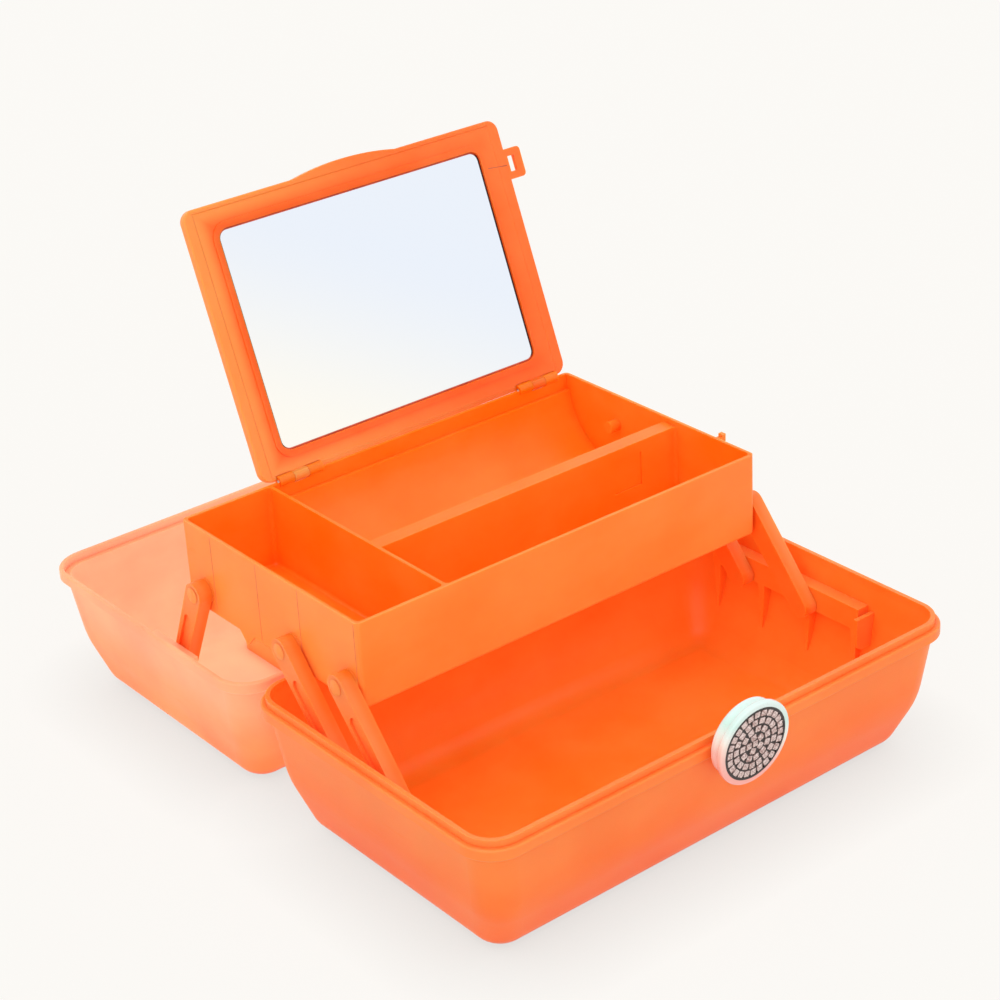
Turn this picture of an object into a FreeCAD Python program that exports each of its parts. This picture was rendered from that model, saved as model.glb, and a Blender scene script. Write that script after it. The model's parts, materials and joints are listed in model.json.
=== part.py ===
"""A moulded make-up case that opens flat into two halves.

A cantilever tray with a mirror lid rises out of the base on two pairs of parallel arms.
Units are millimetres, +Z is up and -Y is the front. All shapes are modelled about the
line of the case hinge (y = 0) and moved to the middle of the open case at the end.
"""
import FreeCAD, Part
import math
import os

V = FreeCAD.Vector
ACROSS = V(1, 0, 0)
ORIGIN = V(0, 0, 0)

# ---------------------------------------------------------------- case halves
RIM_LENGTH = 330.0          # along the hinge, over the rim bands
RIM_DEPTH = 205.5           # front to back of one half, over the rim bands
RIM_HEIGHT = 79.0           # table to the parting face
RIM_CORNER = 21.0           # plan radius of the rim corners
HALVES_GAP = 7.0            # between the two rims when the case lies open
PARTING_GAP = 0.3           # left between the parting faces when the case is shut
WALL = 2.5
BAND_HEIGHT = 7.0           # the thick band round each rim
BAND_STEP = 3.0             # how far the band stands out of the wall at the parting face
BAND_EDGE = 1.2             # the band's outer edges: rounded above, chamfered below
END_LEAN = 7.5              # degrees that the end walls lean out above the belly
SIDE_LEAN = 6.5             # degrees that the front and back walls lean out above the belly
END_FOOT_LEAN = 17.0        # the same below the belly
SIDE_FOOT_LEAN = 24.0
BELLY_HEIGHT = 34.0         # where the walls turn in towards the foot
BELLY_BEND = 60.0
FOOT_BEND = 17.5            # radius between the walls and the floor
TONGUE_RISE = 4.0           # the base's tongue above its parting face
TONGUE_PLAY = 0.5           # sideways play of the tongue in the lid
TONGUE_HEADROOM = 1.0       # left above the tongue when the case is shut
CLEARANCE = 0.3             # running gap between pieces that pass each other

# ---------------------------------------------------------------- case hinge
BARREL_RADIUS = 3.2
PIN_RADIUS = 1.2
PIN_PLAY = 0.05             # radial play of every pin in its bore
KNUCKLE = 14.0              # length of one knuckle
KNUCKLES = 3
HINGE_IN = 70.0             # middle of each hinge from the end of the rim
WEB_DROP = 7.0              # how far a knuckle's web runs down the band

# ---------------------------------------------------------------- arms
ARM_LENGTH = 66.06          # pivot to pivot, both pairs of base arms
ARM_OPEN = 48.93            # degrees above level, case open
ARM_SWING = 110.0           # degrees that the base arms turn as the case shuts
ARM_SPACING = 51.0          # between the front and rear pair
ARM_THICK = 8.5
ARM_HEAD = 7.0              # end radius at the tray
ARM_FOOT = 6.0              # end radius at the case
ARM_STEP = 15.0             # from the tray pivot to the step in the arm's outer face
ARM_POCKET = 1.6            # depth of the face below the step
ARM_EDGE = 2.4              # width of the raised edge beside that face
PIVOT_HEIGHT = 57.5         # of the arms' pivots in the case halves
FRONT_PIVOT = 112.0         # front arm's case pivot, forward of the case hinge
LID_ARM_SPACING = 135.3     # lid arm's tray pivot behind the front arm's tray pivot
RIVET_RADIUS = 3.0
RIVET_HEAD = 4.75
RIVET_DOME = 1.3
RIVET_SEAT = 2.2            # depth of a rivet's tail in the tray
PIN_SEAT = 3.5              # depth of a pivot pin in its pad
PIN_REACH = 7.0             # depth of a pivot pin in its arm
BOSS_RISE = 0.9             # the tray's pads round the rivets

# ---------------------------------------------------------------- tray
END_ROOM = 25.2             # tray end to the rim line, room for the arms
TRAY_DEPTH = 164.2
TRAY_HEIGHT = 51.0
TRAY_WALL = 2.0
TRAY_CORNER = 3.0
TRAY_FOOT = 2.5             # rounding of the bottom edges
TRAY_PIVOT_UP = 14.0        # tray pivots above the tray's bottom
TRAY_PIVOT_BACK = 9.6       # front tray pivot behind the tray's front
LEFT_BAY = 55.5             # inside length of the deep bay at the left
BAY_CORNER = 2.5
BAY_FOOT = 2.0              # rounding between the bays' walls and floors
TROUGH_RADIUS = 42.8
TROUGH_IN = 4.4             # the trough's back edge forward of the tray's back
TROUGH_AXIS_DROP = 4.2      # the trough's axis below the tray's rim
TROUGH_LEDGE_DROP = 9.8     # the step behind the trough, below the tray's rim
LAND_WIDTH = 10.0           # the long land between the front bay and the trough
LAND_DROP = 3.3             # the land below the tray's rim
CATCH_IN = 56.5             # small pointed catch under each end, forward of the tray's back
CATCH_LENGTH = 15.0
CATCH_DROP = 5.8
LUG_FORWARD = 0.8           # round lug on the trough's right end, forward of the trough's axis
LUG_RADIUS = 3.6
LUG_DROP = 19.0             # lug's axis below the tray's rim
LUG_REACH = 7.0
CELL_LEFT = 90.0            # sunk panel on the land's front, left edge from the middle
CELL_LENGTH = 21.0
CELL_HEIGHT = 21.0
CELL_DROP = 10.3            # panel's top below the tray's rim
CELL_SINK = 0.8

# ---------------------------------------------------------------- mirror lid
MIRROR_OPEN = 111.1         # degrees from flat on the tray
MIRROR_REACH = 159.8        # hinge axis to the free edge
MIRROR_THICK = 8.5
MIRROR_CORNER = 7.0
MIRROR_BACK_EDGE = 5.0      # rounding of the back edges
MIRROR_START = 0.6          # hinge axis to the frame's near edge
MIRROR_BARREL = 3.2
MIRROR_KNUCKLE = 10.0
MIRROR_HINGE_IN = 24.0      # middle of each mirror hinge from the frame's end
MIRROR_WEB_DROP = 9.0       # how far the tray's knuckle webs run down its back
FRAME_OVERLAP = 1.7         # frame's left edge past the tray's divider
FRAME_FACE_EDGE = 0.8       # rounding of the frame's face edges
GLASS_LENGTH = 186.0
GLASS_HEIGHT = 130.0
GLASS_THICK = 2.0
GLASS_CORNER = 6.0
GLASS_START = 14.8          # hinge axis to the glass
GLASS_SIDE = 19.3           # right end of the frame to the glass
GLASS_SINK = 0.9            # glass face below the frame's face
GLASS_PLAY = 0.2
BEAD_WIDTH = 4.0
BEAD_RISE = 0.7
LIP_LENGTH = 72.0
LIP_RISE = 3.5
LIP_THICK = 4.5
LIP_MIDDLE = 28.0           # middle of the finger lip, right of the middle of the case
LOOP_REACH = 11.6           # loop tab beyond the frame's end
LOOP_START = 122.0          # hinge axis to the loop's near edge
LOOP_WIDTH = 18.5
LOOP_THICK = 2.8
LOOP_SLOT_WIDTH = 5.0
LOOP_SLOT_LENGTH = 9.5
LOOP_SLOT_OUT = 1.2         # frame's end to the slot
PEG_WIDTH = 3.4
PEG_THICK = 2.6
PEG_FORWARD = 2.4           # the peg's middle forward of the slot's
PEG_RISE = 1.6              # the peg above the tray's rim
PEG_ROOT = 6.0              # height of the bracket under the peg

# ---------------------------------------------------------------- pads and rests in the halves
PAD_PLAY = 0.4              # between the arms and the pads
PAD_HEIGHT = 14.0
PAD_BELOW_PIVOT = 3.5       # pad's bottom edge below the pivots
PAD_REACH = 38.0            # pad forward of the front pivot
PAD_BACK = 28.5             # pad behind the rear pivot
LID_PAD_HALF = 21.0         # half length of the lid's pad
GUSSET_DROP = 29.0
GUSSET_THICK = 5.0
GUSSET_TIP = 1.0
GUSSET_SPACING = 37.0
REST_FORWARD = 43.0         # arm rest forward of the front pivot
REST_THICK = 2.5
REST_HEIGHT = 20.0
REST_INBOARD = 5.9          # how far the rest reaches in past the pad's face
REST_CORNER = 5.0

# ---------------------------------------------------------------- latch
LATCH_LEAN = 5.5            # degrees that the free latch leans out
LATCH_CENTRE_UP = 17.0      # button's axis above the latch pivot
LATCH_PIVOT_HEIGHT = 62.0
LATCH_PIVOT_OUT = 4.0       # latch pivot outside the rim line
BUTTON_RADIUS = 24.1
BUTTON_WAIST = 20.8
BUTTON_BACK = 22.0
BUTTON_DEPTH = 10.5
BUTTON_FLANGE = 3.2
BUTTON_BACK_FLANGE = 2.6
BUTTON_WALL = 2.0
BUTTON_GROOVE = 1.6         # slope on each side of the button's waist
BUTTON_EDGE = 1.1           # rounding of the front flange, chamfer of the rear one
DIAL_RADIUS = 21.0          # sunk seat in the button's face
DIAL_SINK = 1.4
RING_WIDTH = 1.3
PLATE_THICK = 0.9
HOOK_WIDTH = 16.0
HOOK_REACH = 2.4            # nose over the lid's band when the latch is pressed home
HOOK_HEIGHT = 3.4
EAR_THICK = 4.0
EAR_RADIUS = 3.2
EAR_SPREAD = 6.5            # half height of an ear where it meets the wall
LATCH_KNUCKLE = 7.4
EAR_SLOT_SPARE = 0.8        # room beside the ears in the button

# ---------------------------------------------------------------- handle in the lid's top
RECESS_LENGTH = 127.0
RECESS_DEPTH = 13.0
RECESS_BEHIND = 8.0         # recess behind the handle's pivot
RECESS_FINGERS = 14.0       # room for the fingers beyond the grip
RECESS_CORNER = 6.0
HANDLE_REACH = 34.0         # pivot to the middle of the grip
GRIP_WIDTH = 10.0
GRIP_THICK = 8.0
GRIP_BEND = 12.0
GRIP_EDGE = 2.5
HANDLE_SINK = 6.0           # pivot below the lid's outer face
HANDLE_SIDE = 0.6           # handle's eyes to the recess ends
HANDLE_PIN = 1.6
HANDLE_PIN_IN = 11.0        # pin's length inside the recess
HANDLE_BOSS = 4.2

# ---------------------------------------------------------------- modelling steps
FIT = 0.001                 # tolerance for picking edges
OVERRUN = 1.0               # how far a cutting body runs past the face it opens

# ---------------------------------------------------------------- places that follow
HINGE_Z = RIM_HEIGHT + PARTING_GAP / 2
HALF_START = HALVES_GAP / 2
HALF_MIDDLE = HALF_START + RIM_DEPTH / 2
HALF_END = HALF_START + RIM_DEPTH
HINGE_OFFSET = RIM_LENGTH / 2 - HINGE_IN
TRAY_END = RIM_LENGTH / 2 - END_ROOM
ARM_INSIDE = TRAY_END + BOSS_RISE + CLEARANCE
ARM_OUTSIDE = ARM_INSIDE + ARM_THICK
PAD_FACE = ARM_OUTSIDE + PAD_PLAY
ARM_RUN = ARM_LENGTH * math.cos(math.radians(ARM_OPEN))
ARM_CLIMB = ARM_LENGTH * math.sin(math.radians(ARM_OPEN))
ARM_CLOSED = ARM_OPEN + ARM_SWING
REAR_PIVOT = FRONT_PIVOT - ARM_SPACING
TRAY_PIVOT_Y = ARM_RUN - FRONT_PIVOT
TRAY_PIVOT_Z = PIVOT_HEIGHT + ARM_CLIMB
TRAY_FRONT = TRAY_PIVOT_Y - TRAY_PIVOT_BACK
TRAY_BACK = TRAY_FRONT + TRAY_DEPTH
TRAY_BOTTOM = TRAY_PIVOT_Z - TRAY_PIVOT_UP
TRAY_TOP = TRAY_BOTTOM + TRAY_HEIGHT
DIVIDER = -TRAY_END + TRAY_WALL + LEFT_BAY
TROUGH_Y = TRAY_BACK - TROUGH_IN - TROUGH_RADIUS
TROUGH_Z = TRAY_TOP - TROUGH_AXIS_DROP
LAND_Z = TRAY_TOP - LAND_DROP
LEDGE_Z = TRAY_TOP - TROUGH_LEDGE_DROP
LID_TRAY_PIVOT = TRAY_PIVOT_Y + LID_ARM_SPACING
SHIFT_Y = ARM_LENGTH * math.cos(math.radians(ARM_CLOSED)) - ARM_RUN
SHIFT_Z = ARM_LENGTH * math.sin(math.radians(ARM_CLOSED)) - ARM_CLIMB
LAND_FRONT_Y = TROUGH_Y - TROUGH_RADIUS - LAND_WIDTH
TRAY_PIVOTS = (TRAY_PIVOT_Y, TRAY_PIVOT_Y + ARM_SPACING, LID_TRAY_PIVOT)
FRAME_LEFT = DIVIDER - FRAME_OVERLAP
FRAME_FACE = TRAY_TOP + CLEARANCE
GLASS_LOW = (TRAY_END - GLASS_SIDE - GLASS_LENGTH, TRAY_BACK - GLASS_START - GLASS_HEIGHT)
GLASS_HIGH = (TRAY_END - GLASS_SIDE, TRAY_BACK - GLASS_START)
LOOP_MIDDLE_Y = TRAY_BACK - LOOP_START - LOOP_WIDTH / 2
LOOP_MIDDLE_X = TRAY_END + LOOP_SLOT_OUT + LOOP_SLOT_WIDTH / 2
LATCH_PIVOT_Y = -(HALF_END + LATCH_PIVOT_OUT)
BUTTON_REAR = -(HALF_END + CLEARANCE)
BUTTON_Z = LATCH_PIVOT_HEIGHT + LATCH_CENTRE_UP
HANDLE_Y = HALF_MIDDLE
EYE_OUTSIDE = RECESS_LENGTH / 2 - HANDLE_SIDE


def lid_pivot():
    """The lid arm's pivot in the lid: one arm length fits both the open and the shut case."""
    shut_y = LID_TRAY_PIVOT + SHIFT_Y
    shut_z = TRAY_PIVOT_Z + SHIFT_Z
    open_square = LID_TRAY_PIVOT ** 2 + (PIVOT_HEIGHT - TRAY_PIVOT_Z) ** 2
    shut_square = shut_y ** 2 + (2 * HINGE_Z - PIVOT_HEIGHT - shut_z) ** 2
    return (open_square - shut_square) / (2 * (LID_TRAY_PIVOT + shut_y))


LID_PIVOT = lid_pivot()


# ---------------------------------------------------------------- basic forms
def rounded_wire(low, high, radius, z):
    """Closed outline with round corners at height z, from (x, y) low to (x, y) high."""
    centres = ((high[0] - radius, low[1] + radius, 270), (high[0] - radius, high[1] - radius, 0),
               (low[0] + radius, high[1] - radius, 90), (low[0] + radius, low[1] + radius, 180))
    arcs = [Part.makeCircle(radius, V(x, y, z), V(0, 0, 1), start, start + 90) for x, y, start in centres]
    edges = []
    for arc, following in zip(arcs, arcs[1:] + arcs[:1]):
        edges.append(arc)
        edges.append(Part.makeLine(arc.lastVertex().Point, following.firstVertex().Point))
    return Part.Wire(edges)


def slab(low, high, radius, bottom, top):
    """Upright block with round corners."""
    return Part.Face(rounded_wire(low, high, radius, bottom)).extrude(V(0, 0, top - bottom))


def pocket(low, high, radius, bottom, top, foot):
    """The inside of a moulded bay: round corners and a rounded foot."""
    body = slab(low, high, radius, bottom, top)
    return body.makeFillet(foot, level_edges(body, bottom))


def level_edges(body, z):
    """Edges of a body that lie wholly at height z."""
    return [edge for edge in body.Edges if max(abs(v.Z - z) for v in edge.Vertexes) < FIT]


def block(low, high):
    """Plain box between two corners."""
    size = [b - a for a, b in zip(low, high)]
    return Part.makeBox(size[0], size[1], size[2], V(*low))


def rod(radius, start, end, y, z):
    """Cylinder along X."""
    return Part.makeCylinder(radius, end - start, V(start, y, z), ACROSS)


def side_prism(points, start, end):
    """Polygon of (y, z) points, drawn out along X."""
    corners = [V(start, y, z) for y, z in points]
    return Part.Face(Part.makePolygon(corners + corners[:1])).extrude(V(end - start, 0, 0))


def front_prism(points, start, end):
    """Polygon of (x, z) points, drawn out along Y."""
    corners = [V(x, start, z) for x, z in points]
    return Part.Face(Part.makePolygon(corners + corners[:1])).extrude(V(0, end - start, 0))


def other_end(shape):
    """The same shape at the left end of the case."""
    return shape.mirror(ORIGIN, ACROSS)


def fused(shapes):
    """One body from pieces that touch, with the seams between them removed."""
    return shapes[0].fuse(shapes[1:]).removeSplitter()


# ---------------------------------------------------------------- the two halves of the case
def wall_profile(step, floor, top, lean, foot_lean):
    """(inset, z) points up a wall, from the floor over the belly to the top."""
    belly = step + (RIM_HEIGHT - BELLY_HEIGHT) * math.tan(math.radians(lean))
    foot = belly + (BELLY_HEIGHT - floor) * math.tan(math.radians(foot_lean))
    rim = step + (RIM_HEIGHT - top) * math.tan(math.radians(lean))
    return ((foot, floor), (belly, BELLY_HEIGHT), (rim, top))


def half_form(step, trim, floor, top):
    """Solid form of one half on the +Y side: bellied walls, round corners and a round foot."""
    ends = wall_profile(step, floor, top, END_LEAN, END_FOOT_LEAN)
    sides = wall_profile(step, floor, top, SIDE_LEAN, SIDE_FOOT_LEAN)
    half = RIM_LENGTH / 2
    front_view = [(inset - half, z) for inset, z in ends] + [(half - inset, z) for inset, z in ends[::-1]]
    end_view = ([(HALF_START + inset, z) for inset, z in sides]
                + [(HALF_END - inset, z) for inset, z in sides[::-1]])
    form = bellied(front_prism(front_view, 0, HALF_END), trim)
    form = form.common(bellied(side_prism(end_view, -half, half), trim))
    corners = [edge for edge in form.Edges if abs(edge.Vertexes[0].Z - edge.Vertexes[-1].Z) > FIT]
    form = form.makeFillet(RIM_CORNER - step, corners)
    return form.makeFillet(FOOT_BEND - trim, level_edges(form, floor))


def bellied(prism, trim):
    """The same prism with the bend in its walls rounded."""
    return prism.makeFillet(BELLY_BEND - trim, level_edges(prism, BELLY_HEIGHT))


def rim_slab(step, bottom, top):
    """Upright block that follows the rim line, a step in from it."""
    low = (step - RIM_LENGTH / 2, HALF_START + step)
    high = (RIM_LENGTH / 2 - step, HALF_END - step)
    return slab(low, high, RIM_CORNER - step, bottom, top)


def rim_band():
    """The thick band below the parting face, before it is hollowed."""
    band = rim_slab(0, RIM_HEIGHT - BAND_HEIGHT, RIM_HEIGHT)
    band = band.makeFillet(BAND_EDGE, level_edges(band, RIM_HEIGHT))
    return band.makeChamfer(BAND_EDGE, level_edges(band, RIM_HEIGHT - BAND_HEIGHT))


def hollow_form():
    """What is taken out of a half, up to its parting face."""
    return half_form(BAND_STEP + WALL, WALL, WALL, RIM_HEIGHT)


def in_base(shape):
    """A shape of the +Y half, turned over to the base's side."""
    return shape.mirror(ORIGIN, V(0, 1, 0))


def end_pad(near, far):
    """Raised pad on the right end wall that carries the arms, on pointed gussets."""
    low = PIVOT_HEIGHT - PAD_BELOW_PIVOT
    pad = block((PAD_FACE, near, low), (RIM_LENGTH / 2, far, low + PAD_HEIGHT))
    half = GUSSET_THICK / 2
    tip = GUSSET_TIP / 2
    profile = ((-half, low), (half, low), (tip, low - GUSSET_DROP), (-tip, low - GUSSET_DROP))
    count = int((far - near - GUSSET_THICK) / GUSSET_SPACING) + 1
    first = (near + far - (count - 1) * GUSSET_SPACING) / 2
    gussets = []
    for number in range(count):
        points = [(first + number * GUSSET_SPACING + y, z) for y, z in profile]
        gussets.append(side_prism(points, PAD_FACE, RIM_LENGTH / 2))
    return fused([pad] + gussets)


def pivot_bore(y):
    """Blind bore for a pivot pin in a pad of the right end wall."""
    return rod(RIVET_RADIUS + PIN_PLAY, PAD_FACE - OVERRUN, PAD_FACE + PIN_SEAT, y, PIVOT_HEIGHT)


def arm_rest():
    """Plate near the front corner on which the front arm lies when the case is shut."""
    shut = math.radians(180 - ARM_CLOSED)
    front = -(FRONT_PIVOT + REST_FORWARD)
    drop = (ARM_HEAD + CLEARANCE) / math.cos(shut)
    top = PIVOT_HEIGHT + (REST_FORWARD - REST_THICK) * math.tan(shut) - drop
    inner = PAD_FACE - REST_INBOARD
    plate = block((inner, front, top - REST_HEIGHT), (RIM_LENGTH / 2, front + REST_THICK, top))
    corner = [edge for edge in level_edges(plate, top - REST_HEIGHT)
              if all(abs(v.X - inner) < FIT for v in edge.Vertexes)]
    return plate.makeFillet(REST_CORNER, corner)


def knuckle_spans(middle, length, first):
    """Start and end along X of every second knuckle of a hinge."""
    start = middle - KNUCKLES * length / 2
    gap = CLEARANCE / 2
    return [(start + n * length + gap, start + (n + 1) * length - gap) for n in range(first, KNUCKLES, 2)]


def case_knuckles(side, first):
    """Knuckles of one half with webs to its band; side is -1 for the base, 1 for the lid."""
    root = side * (HALF_START + BAND_STEP)
    web = ((0, HINGE_Z - BARREL_RADIUS), (root, HINGE_Z - WEB_DROP), (root, RIM_HEIGHT), (0, RIM_HEIGHT))
    shapes = []
    for middle in (-HINGE_OFFSET, HINGE_OFFSET):
        for start, end in knuckle_spans(middle, KNUCKLE, first):
            shapes.append(rod(BARREL_RADIUS, start, end, 0, HINGE_Z))
            shapes.append(side_prism(web, start, end))
    return shapes


def case_pin_bores():
    """Bores through both hinges of the case."""
    reach = KNUCKLES * KNUCKLE / 2 + OVERRUN
    return [rod(PIN_RADIUS + PIN_PLAY, x - reach, x + reach, 0, HINGE_Z) for x in (-HINGE_OFFSET, HINGE_OFFSET)]


def latch_ears():
    """The base's two ears that hold the latch pin, run in through the front wall."""
    reach = HALF_END - BAND_STEP - FOOT_BEND
    profile = ((LATCH_PIVOT_Y, LATCH_PIVOT_HEIGHT - EAR_RADIUS), (-reach, LATCH_PIVOT_HEIGHT - EAR_SPREAD),
               (-reach, LATCH_PIVOT_HEIGHT + EAR_SPREAD), (LATCH_PIVOT_Y, LATCH_PIVOT_HEIGHT + EAR_RADIUS))
    inner = LATCH_KNUCKLE / 2 + CLEARANCE
    shapes = []
    for start in (inner, -inner - EAR_THICK):
        shapes.append(rod(EAR_RADIUS, start, start + EAR_THICK, LATCH_PIVOT_Y, LATCH_PIVOT_HEIGHT))
        shapes.append(side_prism(profile, start, start + EAR_THICK))
    return shapes


def latch_bore():
    """Bore for the latch pin through the ears and the latch."""
    half = LATCH_KNUCKLE / 2 + CLEARANCE + EAR_THICK + OVERRUN
    return rod(PIN_RADIUS + PIN_PLAY, -half, half, LATCH_PIVOT_Y, LATCH_PIVOT_HEIGHT)


def base_shell():
    """Front half: the deep tub, with tongue, arm pads, arm rests, latch ears and hinge."""
    form = in_base(half_form(BAND_STEP, 0, 0, RIM_HEIGHT))
    tongue_top = RIM_HEIGHT + TONGUE_RISE
    tongue = in_base(rim_slab(BAND_STEP, RIM_HEIGHT - TONGUE_RISE, tongue_top))
    inside = in_base(rim_slab(BAND_STEP + WALL, RIM_HEIGHT, tongue_top))
    body = form.fuse([in_base(rim_band()), tongue] + latch_ears()).cut([in_base(hollow_form()), inside])
    fittings = end_pad(-(FRONT_PIVOT + PAD_REACH), -(REAR_PIVOT - PAD_BACK)).fuse(arm_rest())
    fittings = fittings.cut([pivot_bore(-FRONT_PIVOT), pivot_bore(-REAR_PIVOT)]).common(form)
    body = body.fuse([fittings, other_end(fittings)] + case_knuckles(-1, 0))
    return body.cut(case_pin_bores() + [latch_bore()]).removeSplitter()


def lid_shell():
    """Rear half: rebated rim, arm pads, hinge and the handle's recess in the outer face."""
    form = half_form(BAND_STEP, 0, 0, RIM_HEIGHT)
    rebate = rim_slab(BAND_STEP - TONGUE_PLAY, RIM_HEIGHT - TONGUE_RISE - TONGUE_HEADROOM, RIM_HEIGHT + OVERRUN)
    body = form.fuse(rim_band()).cut([hollow_form(), rebate])
    pad = end_pad(LID_PIVOT - LID_PAD_HALF, LID_PIVOT + LID_PAD_HALF)
    pad = pad.cut(pivot_bore(LID_PIVOT)).common(form)
    boss = rod(HANDLE_BOSS, RECESS_LENGTH / 2, RECESS_LENGTH / 2 + 2 * WALL, HANDLE_Y, HANDLE_SINK)
    body = body.fuse([pad, other_end(pad), recess_slab(WALL, 0), boss, other_end(boss)] + case_knuckles(1, 1))
    bore = rod(HANDLE_PIN + PIN_PLAY, 0, RECESS_LENGTH / 2 + WALL, HANDLE_Y, HANDLE_SINK)
    return body.cut([recess_slab(0, OVERRUN), bore, other_end(bore)] + case_pin_bores()).removeSplitter()


def recess_slab(grow, overrun):
    """Block of the handle's recess in the lid's outer face."""
    low = (-RECESS_LENGTH / 2 - grow, HANDLE_Y - RECESS_BEHIND - grow)
    far = HANDLE_Y + HANDLE_REACH + GRIP_WIDTH / 2 + RECESS_FINGERS
    return slab(low, (-low[0], far + grow), RECESS_CORNER + grow, -overrun, RECESS_DEPTH + grow)


def case_pin(middle):
    """Hinge pin of the case."""
    half = KNUCKLES * KNUCKLE / 2 - CLEARANCE
    return rod(PIN_RADIUS, middle - half, middle + half, 0, HINGE_Z)


# ---------------------------------------------------------------- arms and their pivots
def bar(foot, head, foot_radius, head_radius, start, end):
    """Flat bar with round ends between two (y, z) points, drawn out along X."""
    a = V(start, foot[0], foot[1])
    b = V(start, head[0], head[1])
    along = (b - a).normalize()
    aside = ACROSS.cross(along)
    lean = math.asin((foot_radius - head_radius) / (b - a).Length)
    left = along * math.sin(lean) + aside * math.cos(lean)
    right = along * math.sin(lean) - aside * math.cos(lean)
    edges = [Part.makeLine(a + left * foot_radius, b + left * head_radius),
             Part.Arc(b + left * head_radius, b + along * head_radius, b + right * head_radius).toShape(),
             Part.makeLine(b + right * head_radius, a + right * foot_radius),
             Part.Arc(a + right * foot_radius, a - along * foot_radius, a + left * foot_radius).toShape()]
    return Part.Face(Part.Wire(edges)).extrude(V(end - start, 0, 0))


def arm(foot, head):
    """Arm at the right end of the tray: a blind foot bore, a through head bore, a sunk outer face."""
    body = bar(foot, head, ARM_FOOT, ARM_HEAD, ARM_INSIDE, ARM_OUTSIDE)
    length = math.dist(foot, head)
    step = [h + (f - h) * (ARM_STEP + ARM_FOOT) / length for f, h in zip(foot, head)]
    near = [f + (h - f) * (ARM_FOOT + RIVET_RADIUS) / length for f, h in zip(foot, head)]
    radius = ARM_FOOT - ARM_EDGE
    sunk = bar(near, step, radius, radius, ARM_OUTSIDE - ARM_POCKET, ARM_OUTSIDE + OVERRUN)
    foot_bore = rod(RIVET_RADIUS + PIN_PLAY, ARM_OUTSIDE - PIN_REACH, ARM_OUTSIDE + OVERRUN, *foot)
    head_bore = rod(RIVET_RADIUS + PIN_PLAY, ARM_INSIDE - OVERRUN, ARM_OUTSIDE + OVERRUN, *head)
    return body.cut([sunk, foot_bore, head_bore])


def rivet(y, z):
    """Round-headed rivet in the right end of the tray, on which an arm's head turns."""
    start = TRAY_END + BOSS_RISE - RIVET_SEAT + PIN_PLAY
    seat = ARM_OUTSIDE + CLEARANCE
    ball = (RIVET_HEAD ** 2 + RIVET_DOME ** 2) / (2 * RIVET_DOME)
    half = math.asin(RIVET_HEAD / ball) / 2
    crown = V(seat + RIVET_DOME, y, z)
    middle = crown + V(ball * (math.cos(half) - 1), 0, ball * math.sin(half))
    rim = V(seat, y, z + RIVET_HEAD)
    straight = Part.makePolygon([crown, V(start, y, z), V(start, y, z + RIVET_RADIUS),
                                 V(seat, y, z + RIVET_RADIUS), rim])
    profile = Part.Wire(straight.Edges + [Part.Arc(rim, middle, crown).toShape()])
    return Part.Face(profile).revolve(crown, ACROSS, 360)


def pivot_pin(y, tail):
    """Pin at the foot of an arm, its tail ending at the given X."""
    return rod(RIVET_RADIUS, ARM_OUTSIDE - PIN_REACH + PIN_PLAY, tail, y, PIVOT_HEIGHT)


# ---------------------------------------------------------------- tray
def tray_blank():
    """Outer form of the tray."""
    blank = slab((-TRAY_END, TRAY_FRONT), (TRAY_END, TRAY_BACK), TRAY_CORNER, TRAY_BOTTOM, TRAY_TOP)
    return blank.makeFillet(TRAY_FOOT, level_edges(blank, TRAY_BOTTOM))


def tray_bays():
    """Everything taken out of the tray: two bays, the trough and the space under it."""
    floor = TRAY_BOTTOM + TRAY_WALL
    above = TRAY_TOP + OVERRUN
    left = DIVIDER + TRAY_WALL
    right = TRAY_END - TRAY_WALL
    front = TRAY_FRONT + TRAY_WALL
    back = TRAY_BACK - TRAY_WALL
    side_bay = pocket((-right, front), (DIVIDER, back), BAY_CORNER, floor, above, BAY_FOOT)
    front_bay = pocket((left, front), (right, LAND_FRONT_Y), BAY_CORNER, floor, above, BAY_FOOT)
    over_land = block((left, LAND_FRONT_Y - BAY_CORNER, LAND_Z), (right, back, above))
    trough = rod(TROUGH_RADIUS, left, right, TROUGH_Y, TROUGH_Z)
    over_ledge = block((left, TROUGH_Y, LEDGE_Z), (right, back, above))
    under = block((left, LAND_FRONT_Y + TRAY_WALL, TRAY_BOTTOM - OVERRUN), (right, back - TRAY_WALL, LAND_Z - TRAY_WALL))
    under = under.cut(rod(TROUGH_RADIUS + TRAY_WALL, left, right, TROUGH_Y, TROUGH_Z))
    cell_top = TRAY_TOP - CELL_DROP
    cell = block((CELL_LEFT, LAND_FRONT_Y - OVERRUN, cell_top - CELL_HEIGHT),
                 (CELL_LEFT + CELL_LENGTH, LAND_FRONT_Y + CELL_SINK, cell_top))
    return [side_bay, front_bay, over_land, trough, over_ledge, under, cell]


def tray_end_fittings():
    """Rivet pads and the pointed catch on the right end of the tray."""
    start = TRAY_END - TRAY_WALL / 2
    shapes = [rod(ARM_HEAD, start, TRAY_END + BOSS_RISE, y, TRAY_PIVOT_Z) for y in TRAY_PIVOTS]
    back = TRAY_BACK - CATCH_IN
    catch = ((back - CATCH_LENGTH / 2, TRAY_BOTTOM + TRAY_FOOT), (back, TRAY_BOTTOM - CATCH_DROP),
             (back + CATCH_LENGTH / 2, TRAY_BOTTOM + TRAY_FOOT))
    shapes.append(side_prism(catch, TRAY_END - TRAY_WALL, TRAY_END))
    return shapes


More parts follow.
